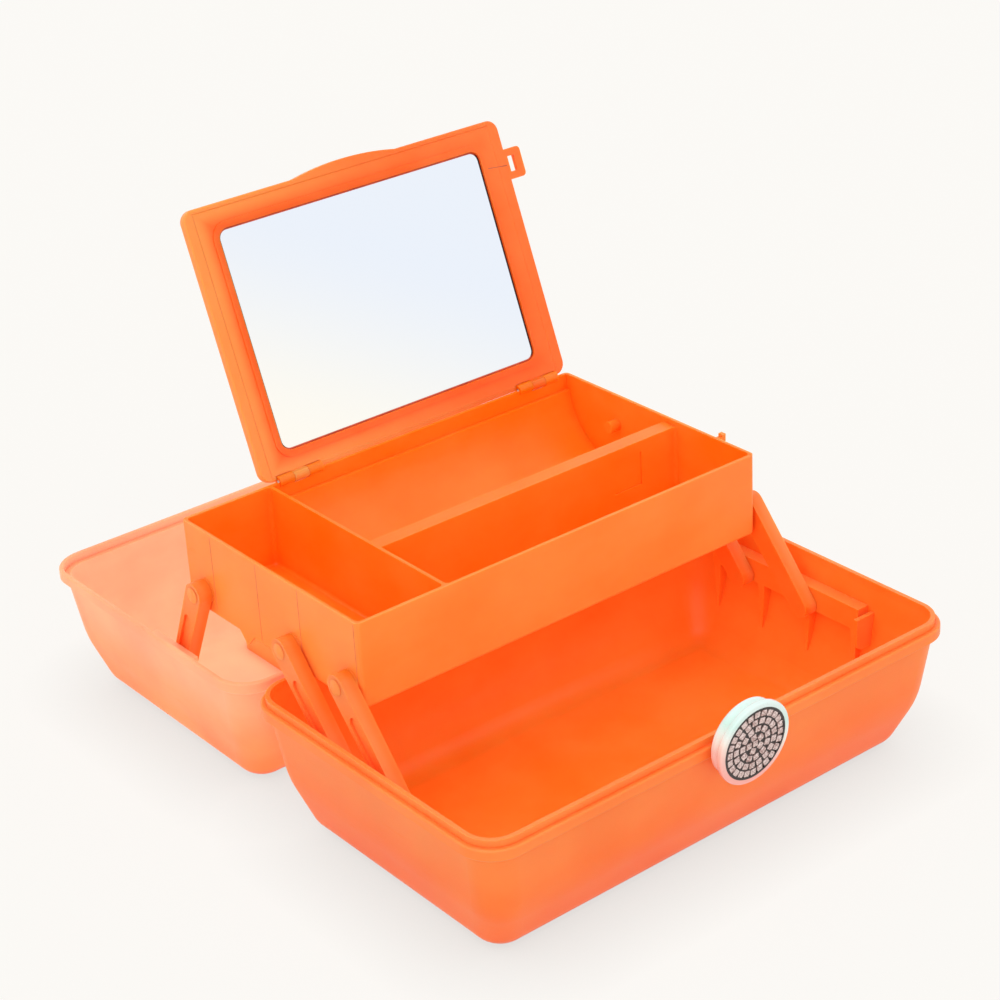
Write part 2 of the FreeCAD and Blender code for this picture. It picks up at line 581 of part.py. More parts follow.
def loop_peg():
    """Peg on the tray's right end that enters the mirror lid's loop."""
    inner = LOOP_MIDDLE_X - PEG_THICK / 2
    outer = inner + PEG_THICK
    shoulder = TRAY_TOP - CLEARANCE
    root = TRAY_END - TRAY_WALL / 2
    profile = ((root, shoulder - PEG_ROOT), (TRAY_END, shoulder - PEG_ROOT), (outer, shoulder - PEG_THICK),
               (outer, TRAY_TOP + PEG_RISE), (inner, TRAY_TOP + PEG_RISE), (inner, shoulder), (root, shoulder))
    middle = LOOP_MIDDLE_Y - PEG_FORWARD
    return front_prism(profile, middle - PEG_WIDTH / 2, middle + PEG_WIDTH / 2)


def mirror_hinges():
    """Middles along X of the two hinges of the mirror lid."""
    return (FRAME_LEFT + MIRROR_HINGE_IN, TRAY_END - MIRROR_HINGE_IN)


def tray_knuckles():
    """Knuckles on the tray's back edge, with webs down its back."""
    root = TRAY_BACK - TRAY_WALL / 2
    web = ((root, TRAY_TOP), (TRAY_BACK + MIRROR_BARREL, TRAY_TOP), (root, TRAY_TOP - MIRROR_WEB_DROP))
    shapes = []
    for middle in mirror_hinges():
        for start, end in knuckle_spans(middle, MIRROR_KNUCKLE, 0):
            shapes.append(rod(MIRROR_BARREL, start, end, TRAY_BACK, TRAY_TOP))
            shapes.append(side_prism(web, start, end))
    return shapes


def knuckle_notches(first):
    """Room in one piece for the knuckles of the other: 0 for the tray's knuckles, 1 for the mirror lid's."""
    radius = MIRROR_BARREL + CLEARANCE
    spans = [span for middle in mirror_hinges() for span in knuckle_spans(middle, MIRROR_KNUCKLE, first)]
    return [rod(radius, start - CLEARANCE, end + CLEARANCE, TRAY_BACK, TRAY_TOP) for start, end in spans]


def mirror_pin_bores():
    """Bores through both hinges of the mirror lid."""
    reach = KNUCKLES * MIRROR_KNUCKLE / 2 + OVERRUN
    return [rod(PIN_RADIUS + PIN_PLAY, x - reach, x + reach, TRAY_BACK, TRAY_TOP) for x in mirror_hinges()]


def tray_body():
    """The cantilever tray: a deep side bay, a front bay, a long land and a round trough."""
    body = tray_blank().cut(tray_bays() + knuckle_notches(1))
    fittings = tray_end_fittings()
    lug = rod(LUG_RADIUS, TRAY_END - TRAY_WALL - LUG_REACH, TRAY_END - TRAY_WALL / 2,
              TROUGH_Y - LUG_FORWARD, TRAY_TOP - LUG_DROP)
    body = body.fuse(fittings + [other_end(shape) for shape in fittings] + [loop_peg(), lug] + tray_knuckles())
    tail = TRAY_END + BOSS_RISE - RIVET_SEAT
    holes = [rod(RIVET_RADIUS + PIN_PLAY, tail, ARM_INSIDE, y, TRAY_PIVOT_Z) for y in TRAY_PIVOTS]
    return body.cut(holes + [other_end(hole) for hole in holes] + mirror_pin_bores()).removeSplitter()


# ---------------------------------------------------------------- mirror lid, modelled flat on the tray
def opened(shape):
    """A piece of the mirror lid, turned up from flat to its open angle."""
    shape.rotate(V(0, TRAY_BACK, TRAY_TOP), ACROSS, -MIRROR_OPEN)
    return shape


def glass_slab(grow, bottom, top):
    """Block with the outline of the glass, a little larger or smaller."""
    low = (GLASS_LOW[0] - grow, GLASS_LOW[1] - grow)
    high = (GLASS_HIGH[0] + grow, GLASS_HIGH[1] + grow)
    return slab(low, high, GLASS_CORNER + grow, bottom, top)


def finger_lip():
    """Shallow bow on the frame's free edge, to lift it by."""
    edge = TRAY_BACK - MIRROR_REACH
    root = edge + MIRROR_CORNER
    half = LIP_LENGTH / 2
    left = V(LIP_MIDDLE - half, edge, FRAME_FACE)
    right = V(LIP_MIDDLE + half, edge, FRAME_FACE)
    bow = Part.Arc(left, V(LIP_MIDDLE, edge - LIP_RISE, FRAME_FACE), right).toShape()
    back = Part.makePolygon([right, V(right.x, root, FRAME_FACE), V(left.x, root, FRAME_FACE), left])
    return Part.Face(Part.Wire([bow] + back.Edges)).extrude(V(0, 0, LIP_THICK))


def mirror_frame():
    """Moulded frame that shuts on the tray: rounded back, beaded window, finger lip, side loop."""
    low = (FRAME_LEFT, TRAY_BACK - MIRROR_REACH)
    back = FRAME_FACE + MIRROR_THICK
    frame = slab(low, (TRAY_END, TRAY_BACK - MIRROR_START), MIRROR_CORNER, FRAME_FACE, back)
    frame = frame.makeFillet(MIRROR_BACK_EDGE, level_edges(frame, back))
    frame = frame.makeFillet(FRAME_FACE_EDGE, level_edges(frame, FRAME_FACE))
    bead = glass_slab(BEAD_WIDTH, FRAME_FACE - BEAD_RISE, FRAME_FACE + GLASS_SINK)
    half = LOOP_WIDTH / 2
    loop = slab((TRAY_END - MIRROR_CORNER, LOOP_MIDDLE_Y - half), (TRAY_END + LOOP_REACH, LOOP_MIDDLE_Y + half),
                BAY_CORNER, FRAME_FACE, FRAME_FACE + LOOP_THICK)
    shapes = [bead, loop, finger_lip()]
    for middle in mirror_hinges():
        for start, end in knuckle_spans(middle, MIRROR_KNUCKLE, 1):
            shapes.append(rod(MIRROR_BARREL, start, end, TRAY_BACK, TRAY_TOP))
            shapes.append(block((start, TRAY_BACK - MIRROR_CORNER, FRAME_FACE),
                                (end, TRAY_BACK, TRAY_TOP + MIRROR_BARREL)))
    slot_x = LOOP_SLOT_WIDTH / 2
    slot_y = LOOP_SLOT_LENGTH / 2
    slot = block((LOOP_MIDDLE_X - slot_x, LOOP_MIDDLE_Y - slot_y, FRAME_FACE - OVERRUN),
                 (LOOP_MIDDLE_X + slot_x, LOOP_MIDDLE_Y + slot_y, back))
    seat = glass_slab(GLASS_PLAY, FRAME_FACE - BEAD_RISE - OVERRUN, FRAME_FACE + GLASS_SINK + GLASS_THICK)
    body = frame.fuse(shapes).cut([slot, seat] + knuckle_notches(0) + mirror_pin_bores())
    return opened(body.removeSplitter())


def mirror_glass():
    """The silvered glass, seated on the frame's window floor."""
    return opened(glass_slab(0, FRAME_FACE + GLASS_SINK, FRAME_FACE + GLASS_SINK + GLASS_THICK))


def mirror_pin(middle):
    """Hinge pin of the mirror lid."""
    half = KNUCKLES * MIRROR_KNUCKLE / 2 - CLEARANCE
    return rod(PIN_RADIUS, middle - half, middle + half, TRAY_BACK, TRAY_TOP)


# ---------------------------------------------------------------- latch, modelled pressed home
def leaned(shape):
    """A piece of the latch, leaned out to where the free latch stands."""
    shape.rotate(V(0, LATCH_PIVOT_Y, LATCH_PIVOT_HEIGHT), ACROSS, LATCH_LEAN)
    return shape


def turned(points):
    """Body turned about the button's axis from (depth in front of its rear, radius) points."""
    corners = [V(0, BUTTON_REAR - depth, BUTTON_Z + radius) for depth, radius in points]
    profile = Part.Face(Part.makePolygon(corners + corners[:1]))
    return profile.revolve(V(0, BUTTON_REAR, BUTTON_Z), V(0, 1, 0), 360)


def latch_button():
    """Hollow round button with a flange, a waist and a sunk dial seat."""
    inside = BUTTON_WAIST - BUTTON_WALL
    front = BUTTON_DEPTH - DIAL_SINK
    neck = BUTTON_DEPTH - BUTTON_FLANGE
    points = ((0, inside), (0, BUTTON_BACK - BUTTON_EDGE), (BUTTON_EDGE, BUTTON_BACK),
              (BUTTON_BACK_FLANGE, BUTTON_BACK), (BUTTON_BACK_FLANGE + BUTTON_GROOVE, BUTTON_WAIST),
              (neck - BUTTON_GROOVE, BUTTON_WAIST),
              (neck, BUTTON_RADIUS), (BUTTON_DEPTH, BUTTON_RADIUS), (BUTTON_DEPTH, DIAL_RADIUS),
              (front, DIAL_RADIUS), (front, 0), (front - BUTTON_WALL, 0), (front - BUTTON_WALL, inside))
    body = turned(points)
    rims = [edge for edge in body.Edges if edge.Curve.TypeId == "Part::GeomCircle"
            and edge.Curve.Radius > BUTTON_BACK + FIT]
    return body.makeFillet(BUTTON_EDGE, rims)


def latch_body():
    """The button with its pin knuckle, room for the base's ears and the nose that holds the lid."""
    wall = BUTTON_REAR - BUTTON_DEPTH + DIAL_SINK + BUTTON_WALL
    half = LATCH_KNUCKLE / 2
    room = half + CLEARANCE + EAR_THICK + EAR_SLOT_SPARE
    ear_room = block((-room, wall, BUTTON_Z - BUTTON_RADIUS), (room, BUTTON_REAR + OVERRUN,
                                                              LATCH_PIVOT_HEIGHT + EAR_SPREAD))
    knuckle = rod(EAR_RADIUS, -half, half, LATCH_PIVOT_Y, LATCH_PIVOT_HEIGHT)
    web = block((-half, wall - BUTTON_WALL / 2, LATCH_PIVOT_HEIGHT - EAR_RADIUS),
                (half, LATCH_PIVOT_Y, LATCH_PIVOT_HEIGHT + EAR_RADIUS))
    catch = 2 * HINGE_Z - RIM_HEIGHT + BAND_HEIGHT + CLEARANCE
    nose = block((-HOOK_WIDTH / 2, wall - BUTTON_WALL / 2, catch),
                 (HOOK_WIDTH / 2, BUTTON_REAR + HOOK_REACH, catch + HOOK_HEIGHT))
    body = latch_button().cut(ear_room).fuse([knuckle, web, nose])
    return leaned(body.cut(latch_bore()).removeSplitter())


def dial_disc(inside, outside, thick):
    """Flat ring or disc on the button's dial seat."""
    seat = BUTTON_DEPTH - DIAL_SINK
    return leaned(turned(((seat, inside), (seat, outside), (seat + thick, outside), (seat + thick, inside))))


def latch_pin():
    """Pin through the base's ears and the latch."""
    half = LATCH_KNUCKLE / 2 + CLEARANCE + EAR_THICK
    return rod(PIN_RADIUS, -half, half, LATCH_PIVOT_Y, LATCH_PIVOT_HEIGHT)


# ---------------------------------------------------------------- carrying handle, folded into the lid
def handle_bail():
    """Flat bail with two eyes, lying in the recess of the lid's outer face."""
    outer = EYE_OUTSIDE
    inner = EYE_OUTSIDE - GRIP_WIDTH
    near = HANDLE_Y - HANDLE_REACH
    far = HANDLE_Y + HANDLE_REACH + GRIP_WIDTH / 2
    low = HANDLE_SINK - GRIP_THICK / 2
    high = HANDLE_SINK + GRIP_THICK / 2
    body = slab((-outer, near), (outer, far), GRIP_BEND + GRIP_WIDTH / 2, low, high)
    body = body.cut(slab((-inner, near), (inner, far - GRIP_WIDTH), GRIP_BEND - GRIP_WIDTH / 2,
                         low - OVERRUN, high + OVERRUN))
    body = body.cut(block((-outer, near - OVERRUN, low - OVERRUN), (outer, HANDLE_Y, high + OVERRUN)))
    body = body.makeFillet(GRIP_EDGE, level_edges(body, low) + level_edges(body, high))
    eye = rod(GRIP_THICK / 2, inner, outer, HANDLE_Y, HANDLE_SINK)
    bore = rod(HANDLE_PIN + PIN_PLAY, inner - OVERRUN, outer + OVERRUN, HANDLE_Y, HANDLE_SINK)
    return body.fuse([eye, other_end(eye)]).cut([bore, other_end(bore)]).removeSplitter()


def handle_pin():
    """Pin through the right end of the recess and the handle's eye."""
    return rod(HANDLE_PIN, RECESS_LENGTH / 2 - HANDLE_PIN_IN, RECESS_LENGTH / 2 + WALL - PIN_PLAY,
               HANDLE_Y, HANDLE_SINK)


# ---------------------------------------------------------------- the whole case
def ended(name, shape):
    """A piece at the right end of the case and its twin at the left end."""
    return {name + "_right": shape, name + "_left": other_end(shape)}


def linkage():
    """Arms, rivets and pivot pins of both ends."""
    sets = (("front_arm", -FRONT_PIVOT, TRAY_PIVOTS[0], PAD_FACE + PIN_SEAT - PIN_PLAY),
            ("rear_arm", -REAR_PIVOT, TRAY_PIVOTS[1], PAD_FACE + PIN_SEAT - PIN_PLAY),
            ("lid_arm", LID_PIVOT, TRAY_PIVOTS[2], ARM_OUTSIDE - PIN_PLAY))
    nodes = {}
    for name, foot, head, tail in sets:
        nodes.update(ended(name, arm((foot, PIVOT_HEIGHT), (head, TRAY_PIVOT_Z))))
        nodes.update(ended(name + "_rivet", rivet(head, TRAY_PIVOT_Z)))
        nodes.update(ended(name + "_pin", pivot_pin(foot, tail)))
    return nodes


def assembly():
    """Every piece by the name of its node."""
    ring = DIAL_RADIUS - RING_WIDTH
    nodes = {"base_shell": base_shell(), "lid_shell": lid_shell(), "tray_body": tray_body(),
             "mirror_frame": mirror_frame(), "mirror_glass": mirror_glass(),
             "latch_button": latch_body(), "latch_ring": dial_disc(ring, DIAL_RADIUS - PIN_PLAY, DIAL_SINK),
             "latch_stone_plate": dial_disc(0, ring - PIN_PLAY, PLATE_THICK), "latch_pin": latch_pin(),
             "handle_bail": handle_bail()}
    nodes.update(ended("handle_pin", handle_pin()))
    nodes.update(ended("case_hinge_pin", case_pin(HINGE_OFFSET)))
    nodes.update({"mirror_hinge_pin_" + side: mirror_pin(x) for side, x in zip(("left", "right"), mirror_hinges())})
    nodes.update(linkage())
    return nodes


def middle_shift():
    """From the hinge line to the middle of the open case, front of the latch to back of the lid."""
    lean = math.radians(LATCH_LEAN)
    depth = CLEARANCE + BUTTON_DEPTH - LATCH_PIVOT_OUT - BUTTON_EDGE
    height = LATCH_CENTRE_UP + BUTTON_RADIUS - BUTTON_EDGE
    reach = depth * math.cos(lean) + height * math.sin(lean) + BUTTON_EDGE
    return (LATCH_PIVOT_OUT + reach) / 2


def main():
    os.makedirs("parts", exist_ok=True)
    for name, shape in assembly().items():
        shape.translate(V(0, middle_shift(), 0))
        shape.exportStep("parts/" + name + ".step")


main()
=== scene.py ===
"""Looks of a moulded make-up case that lies open: neon orange plastic, a silvered mirror, a pearl latch.

Lengths are in metres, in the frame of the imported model: +Z up, -Y the front, where the latch is.
"""
import bmesh
import bpy
import json
import math
import random
from mathutils import Matrix, Vector

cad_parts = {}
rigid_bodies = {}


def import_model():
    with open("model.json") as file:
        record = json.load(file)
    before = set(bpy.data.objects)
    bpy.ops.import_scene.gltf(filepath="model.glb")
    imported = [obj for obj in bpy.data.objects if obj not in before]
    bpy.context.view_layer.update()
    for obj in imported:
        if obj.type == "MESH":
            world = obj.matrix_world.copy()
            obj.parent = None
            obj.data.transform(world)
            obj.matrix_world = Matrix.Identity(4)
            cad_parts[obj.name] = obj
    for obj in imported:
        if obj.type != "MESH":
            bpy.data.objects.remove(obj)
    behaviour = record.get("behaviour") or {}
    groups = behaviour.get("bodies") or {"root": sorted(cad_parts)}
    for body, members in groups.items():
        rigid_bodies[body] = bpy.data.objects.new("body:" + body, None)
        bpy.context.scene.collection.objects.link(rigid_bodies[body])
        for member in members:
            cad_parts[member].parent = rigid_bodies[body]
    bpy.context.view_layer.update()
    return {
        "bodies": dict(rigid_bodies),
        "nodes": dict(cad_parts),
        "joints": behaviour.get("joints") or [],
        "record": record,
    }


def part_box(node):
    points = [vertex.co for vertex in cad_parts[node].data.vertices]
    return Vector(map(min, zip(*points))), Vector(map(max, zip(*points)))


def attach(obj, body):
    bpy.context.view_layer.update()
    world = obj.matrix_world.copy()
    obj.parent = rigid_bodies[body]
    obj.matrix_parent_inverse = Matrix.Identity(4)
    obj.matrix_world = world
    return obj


MM = 0.001

# camera
CAMERA_PLACE = (-0.7387, -0.9725, 0.7530)
CAMERA_TURN = -37.62        # degrees about the vertical
CAMERA_DIP = 26.69          # degrees below level
CAMERA_ROLL = -3.25
CAMERA_LENS = 88.39         # mm, on a 36 mm sensor

# stage
FLOOR_SIZE = 16.0
PAPER = (0.973, 0.956, 0.923, 1.0)          # the floor as the eye sees it
FLOOR_TONE = (0.90, 0.885, 0.86, 1.0)       # the floor as it lights the case
PAPER_FIBRE = 4.0 * MM
SHADOW_SHARE = 0.08         # how much of the floor's own shading the camera sees
SHADOW_REACH = 55.0 * MM    # how far the soft contact shadow spreads
SHADOW_DEPTH = 0.24         # how much darker the floor is at the contact
SKY_LEVEL = 0.78            # the rest of the light is the sun's
SUN_FROM = (-0.36, -0.34, 0.86)
SUN_WIDTH = 60.0            # degrees across the light, which softens its shadow

# latch dial
LATCH_LEAN = 5.5            # degrees that the free latch leans out
STONE_WIDE = 3.7 * MM
STONE_DEEP = 3.5 * MM
STONE_GIRDLE = 0.5 * MM
STONE_CROWN = 0.6 * MM
STONE_TABLE = 0.8 * MM      # width of the sloping facets round a stone's flat top
STONE_CORNER = 0.35 * MM
STONE_SWAY = 5.0            # degrees that a stone is out of line at most
STONE_RINGS = ((0.0, 1), (4.4, 5), (8.8, 11), (13.3, 17), (17.7, 24))       # radius in mm, stones
RING_SHIFT = 0.25           # of the step from stone to stone, that a ring is turned on by

# sizes of the patterns in the plastic
DYE_CLOUD = 60.0 * MM
FLOW_MARK = 12.0 * MM
SATIN_GRAIN = 0.6 * MM
SCUFF = 1.6 * MM
GRAIN_DEPTH = 0.06 * MM
LIGHT_DEPTH = 9.0 * MM      # how deep light goes into the plastic
CREASE = 12.0 * MM          # how near another face makes a crease, which gets painted shade
FOOT_TO_RIM = (8.0 * MM, 72.0 * MM)         # heights between which a tub turns paler: painted light

# patterns in the other finishes
PEARL_SWIRL = 20.0 * MM
PEARL_WAVE = 10.0 * MM      # how far a swirl lifts or lowers the bands of colour
PEARL_LEAN = 0.35           # rise of the bands towards the left
PEARL_SPAN = (55.0 * MM, 103.0 * MM)        # from the latch's pink foot, a painted sheen, to its mint top
PEARL_FLAKE = 0.5 * MM
REFLECTION_LEAN = 0.55
REFLECTION_SPAN = (120.0 * MM, 270.0 * MM)      # from the mirror's warm foot to its cool top: painted reflection
HAND_SMEAR = 45.0 * MM
BLACK_GRAIN = 0.4 * MM
DUST = 6.0 * MM
# size of the painted glints on the stones
STONE_GLINT = 1.1 * MM
WIRE_MARK = 0.8 * MM
WIRE_DULL = 4.0 * MM
PATCH_LENGTH = 8.0 * MM

# colours
# painted shade: the deeper colour that creases are painted with
CREASE_SHADE_TONE = (1.0, 0.10, 0.002, 1.0)
PALE_CLOUD = (1, 0.42, 0.14, 1)
PALE_SHARE = 0.16           # of it in the palest clouds
BLACK = (0, 0, 0, 1)
WHITE = (1, 1, 1, 1)
# the body's mint and cream, and a painted pink sheen
PEARL_TINT_AND_SHEEN = ((0.0, (1.00, 0.42, 0.36, 1)), (0.28, (0.97, 0.60, 0.52, 1)), (0.48, (0.93, 0.82, 0.72, 1)),
               (0.64, (0.84, 0.90, 0.83, 1)), (0.82, (0.66, 0.88, 0.80, 1)), (1.0, (0.78, 0.92, 0.88, 1)))
SEAM_SHADE = ((0.72, 0.16, 0.06, 1), (0.85, 0.24, 0.10, 1))
STEP_SHADE = ((0.60, 0.10, 0.03, 1), (0.75, 0.16, 0.05, 1))
CUT_SHADE = ((0.50, 0.075, 0.030, 1), (0.68, 0.12, 0.05, 1))
CUT_BLACK = (0.030, 0.006, 0.004, 1)

# strength of the painted glow: emission that stands in for the light that comes through the plastic
CASE_GLOW = 0.12
LID_GLOW = 0.40
TRAY_GLOW = 0.14
RIVET_GLOW = 0.32

# where the outer faces of the pieces start, and with them the painted outer tones
TUB_MIDDLE = 112.0 * MM     # middle of either tub, from the case hinge
TUB_MIDDLE_UP = 45.0 * MM
TUB_BLEND = 4.0 * MM
SKIN_DEPTHS = (1.5 * MM, 0.5 * MM)          # under a tray wall's face, where its outer tone comes in
ARM_SIDES = (142.5 * MM, 147.5 * MM)        # from an arm's inner side to its outer one

# tray
TRAY_END = 139.8 * MM
TRAY_FRONT = -70.9 * MM
SEAM_PLACES = (65.3, 21.3, -17.7, -67.7)    # mm along the tray's ends
SEAM_LOW = 97.0 * MM
SEAM_HIGH = 143.0 * MM
SEAM_WIDTH = 0.5 * MM
SEAM_RISE = 0.14 * MM
SEAM_CREST = 0.45           # width of a seam's crest, of its foot's
SEAM_TIP = 0.3              # the same for its lower end

# mirror lid, drawn as it lies flat on the tray and then swung open
MIRROR_OPEN = 111.1         # degrees
MIRROR_HINGE = Vector((0.0, 93.304 * MM, 144.303 * MM))
FRAME_FACE = 144.603 * MM
EDGE_WIDTH = 0.9 * MM       # dark cut edge of the glass
EDGE_RISE = 0.15 * MM
GLASS_CORNER = 6.0 * MM
# Y and Z of the way up the open glass
GLASS_UP = (-math.cos(math.radians(MIRROR_OPEN)), math.sin(math.radians(MIRROR_OPEN)))
GLASS_HEIGHT = 130.0 * MM
END_SHADE = (3.0 * MM, 1.2 * MM)            # from the glass's ends, where its edge turns black
FRAME_BAND = (1.0 * MM, 11.0 * MM)          # out from the glass, where the frame turns paler: painted shade by the glass
FRAME_FADE = (-80.0 * MM, 100.0 * MM)       # from the frame's pale left to its deeper right: painted light from the left
FADE_SHARE = 0.80
BAND_STEP = (11.8 * MM, 12.6 * MM)          # out from the glass, the step round the frame
BAND_DEPTH = 0.6 * MM
STEP_FROM = Vector((124.9 * MM, -39.2 * MM, FRAME_FACE))        # fine line from the bead to the loop
STEP_TO = Vector((139.0 * MM, -37.4 * MM, FRAME_FACE))
STEP_WIDTH = 0.6 * MM
STEP_RISE = 0.12 * MM
STEP_CREST = (0.99, 0.4)    # length and width of the step's crest, of its foot's
SEAL_ENDS = (-44.0 * MM, 100.2 * MM)        # between the two mirror hinges
SEAL_DEEP = 1.6 * MM        # from the hinge's axis into the frame's near edge
SEAL_THICK = 2.0 * MM
SEAL_EDGE = 0.3 * MM

STRAIGHT = 0.9              # least share of a face's normal along an axis that it faces


def tone(green, blue, glow_green, glow_blue):
    """A plastic colour with painted light and shade in it, and the colour of its painted glow: emission that
    stands in for the light that comes through it.
    """
    return (1, green, blue, 1), (1, glow_green, glow_blue, 1)


TRAY_OUTSIDE = tone(0.250, 0.035, 0.42, 0.08)
ARM_OUTSIDE = tone(0.215, 0.040, 0.36, 0.08)
FRAME_OUTSIDE = tone(0.300, 0.055, 0.45, 0.12)

# tones of the faces inside, of the outer faces by the rim, and of those by the foot: painted light and shade,
# lit and shaded copies of one orange
CASE_TONES = (tone(0.195, 0.012, 0.38, 0.035), tone(0.215, 0.040, 0.34, 0.05), tone(0.130, 0.005, 0.20, 0.01))
LID_TONES = (tone(0.270, 0.140, 0.85, 0.52), tone(0.215, 0.095, 0.64, 0.36), tone(0.135, 0.020, 0.38, 0.09))
TRAY_TONES = (tone(0.180, 0.003, 0.28, 0.00), TRAY_OUTSIDE, TRAY_OUTSIDE)
ARM_TONES = (tone(0.170, 0.010, 0.26, 0.02), ARM_OUTSIDE, ARM_OUTSIDE)
RIVET_TONES = (ARM_OUTSIDE, ARM_OUTSIDE, ARM_OUTSIDE)
FRAME_TONES = (tone(0.120, 0.003, 0.16, 0.00), FRAME_OUTSIDE, FRAME_OUTSIDE)


# ---------------------------------------------------------------- shader maths
class Field:
    """A value or colour that changes over a surface. Arithmetic on it adds the nodes that work it out."""

    def __init__(self, tree, socket=None):
        self.tree = tree
        self.socket = socket

    def node(self, kind, settings=None, values=None, output=0):
        """Adds one node: its settings first, then its sockets' values or links."""
        added = self.tree.nodes.new(kind)
        for key, value in (settings or {}).items():
            if key == "stops":
                ramp = added.color_ramp.elements
                for place, colour in value[1:-1]:
                    ramp.new(place).color = colour
                ramp[0].position, ramp[0].color = value[0]
                ramp[len(value) - 1].position, ramp[len(value) - 1].color = value[-1]
            else:
                setattr(added, key, value)
        for key, value in (values or {}).items():
            if isinstance(value, Field):
                self.tree.links.new(value.socket, added.inputs[key])
            else:
                added.inputs[key].default_value = value
        return Field(self.tree, added.outputs[output])

    def maths(self, operation, first, second=0.0):
        """One Math node on two values."""
        return self.node("ShaderNodeMath", {"operation": operation}, {0: first, 1: second})

    def __add__(self, other):
        return self.maths("ADD", self, other)

    def __mul__(self, other):
        return self.maths("MULTIPLY", self, other)

    def __sub__(self, other):
        return self.maths("SUBTRACT", self, other)

    def __rsub__(self, other):
        return self.maths("SUBTRACT", other, self)

    __radd__ = __add__
    __rmul__ = __mul__

    def larger(self, other):
        return self.maths("MAXIMUM", self, other)

    def magnitude(self):
        return self.maths("ABSOLUTE", self)

    def between(self, low, high):
        """0 where the value is at low, 1 where it is at high, smooth in between."""
        return self.node("ShaderNodeMapRange", {"interpolation_type": "SMOOTHSTEP"},
                         {"Value": self, "From Min": low, "From Max": high})

    def axis(self, name):
        """The place along X, Y or Z."""
        return self.node("ShaderNodeSeparateXYZ", None, {0: self}, name)

    def moved(self, **values):
        """This place shifted, turned or stretched by a Mapping node."""
        return self.node("ShaderNodeMapping", None, dict(values, Vector=self))

    def noise(self, size, detail=2.0, rough=0.5):
        """Soft noise about the mean 0.5, with blobs of the given size in metres."""
        return self.node("ShaderNodeTexNoise", None,
                         {"Vector": self, "Scale": 1 / size, "Detail": detail, "Roughness": rough})

    def mixed(self, first, second):
        """This value as a mask between two colours."""
        return self.node("ShaderNodeMix", {"data_type": "RGBA"}, {0: self, 6: first, 7: second}, 2)

    def bump(self, depth, strength=1.0, under=None):
        """The surface raised by this height, over the relief that is already there."""
        values = {"Height": self, "Distance": depth, "Strength": strength}
        if under:
            values["Normal"] = under
        return self.node("ShaderNodeBump", None, values)


def started(name):
    """A new material with no nodes, and the place on the object to build on."""
    material = bpy.data.materials.new(name)
    material.use_nodes = True
    material.node_tree.nodes.clear()
    place = Field(material.node_tree).node("ShaderNodeTexCoord", output="Object")
    return material, place


def finished(material, place, **sockets):
    """Gives a material its surface from the named sockets of one principled shader."""
    values = {key.replace("_", " "): value for key, value in sockets.items()}
    shown(place.node("ShaderNodeBsdfPrincipled", None, values))
    return material


def shown(shader, kind="ShaderNodeOutputMaterial"):
    """Ends the nodes of a material, or of the world, with this shader."""
    output = shader.tree.nodes.new(kind)
    shader.tree.links.new(shader.socket, output.inputs["Surface"])


# ---------------------------------------------------------------- finishes
def neon_plastic(name, tones, wall, through=CASE_GLOW, relief=None):
    """Translucent moulded plastic: clouded dye, flow marks from the gate, fine satin grain, scuffed gloss.

    tones are those of the faces inside, of the outer faces by the rim and of those by the foot: painted light
    and shade. wall(place) is 1 on the outer faces, relief(place) a moulded step. Creases get painted shade, a
    deeper colour, and a weaker painted glow.
    """
    inner, high, low = tones
    material, place = started(name)
    clouds = place.noise(DYE_CLOUD, 3.0, 0.5)
    flow = place.moved(Scale=(0.35, 0.35, 1.0)).noise(FLOW_MARK, 3.0, 0.55)
    grain = place.noise(SATIN_GRAIN, 2.0, 0.6)
    scuffs = place.moved(Rotation=(0.3, 0.5, 0.9), Scale=(1.0, 0.06, 1.0)).noise(SCUFF, 2.0, 0.7)
    cloud = (0.8 * clouds + 0.2 * flow).between(0.3, 0.7)
    height = place.axis("Z").between(*FOOT_TO_RIM)
    outer = wall(place)
    # painted shade: near other faces the colour turns deeper and the painted glow weaker
    nearness = place.node("ShaderNodeAmbientOcclusion", {"samples": 6}, {"Distance": CREASE}, "AO")
    open_air = nearness.between(0.25, 0.85)
    # painted light and shade: the inside, rim and foot tones are lit and shaded copies of one orange
    dye = outer.mixed(inner[0], height.mixed(low[0], high[0]))
    glow = outer.mixed(inner[1], height.mixed(low[1], high[1]))
    dye = (PALE_SHARE * cloud).mixed(dye, PALE_CLOUD)
    satin = 0.12 * (flow - 0.5) + 0.08 * (grain - 0.5)
    # painted glow: emission, weaker in creases, that stands in for the light through the plastic
    lit = (0.3 * cloud + 0.7) * (0.3 + 0.7 * open_air)
    skin = (grain + 1.5 * flow).bump(GRAIN_DEPTH, 0.6)
    if relief:
        skin = relief(place).bump(BAND_DEPTH, 1.0, skin)
    return finished(material, place,
                    Base_Color=(0.50 + 0.50 * open_air).mixed(CREASE_SHADE_TONE, dye),
                    Roughness=0.40 + satin + 0.10 * scuffs.between(0.62, 0.74),
                    Subsurface_Weight=0.65,
                    Subsurface_Radius=(1.0, 0.45, 0.18),
                    Subsurface_Scale=LIGHT_DEPTH,
                    Specular_IOR_Level=0.35,
                    IOR=1.49,
                    Emission_Color=lit.mixed(BLACK, glow),
                    Emission_Strength=through,
                    Normal=skin)


def tub_wall(side):
    """1 on the outer faces of a tub, 0 inside it: the base is on side -1 of the case hinge, the lid on 1."""
    def wall(place):
        out = place.moved(Location=(0, -side * TUB_MIDDLE, -TUB_MIDDLE_UP))
        facing = place.node("ShaderNodeTexCoord", output="Normal")
        turned = place.node("ShaderNodeVectorMath", {"operation": "DOT_PRODUCT"},
                            {0: out, 1: facing}, "Value")
        return turned.between(-TUB_BLEND, TUB_BLEND)
    return wall


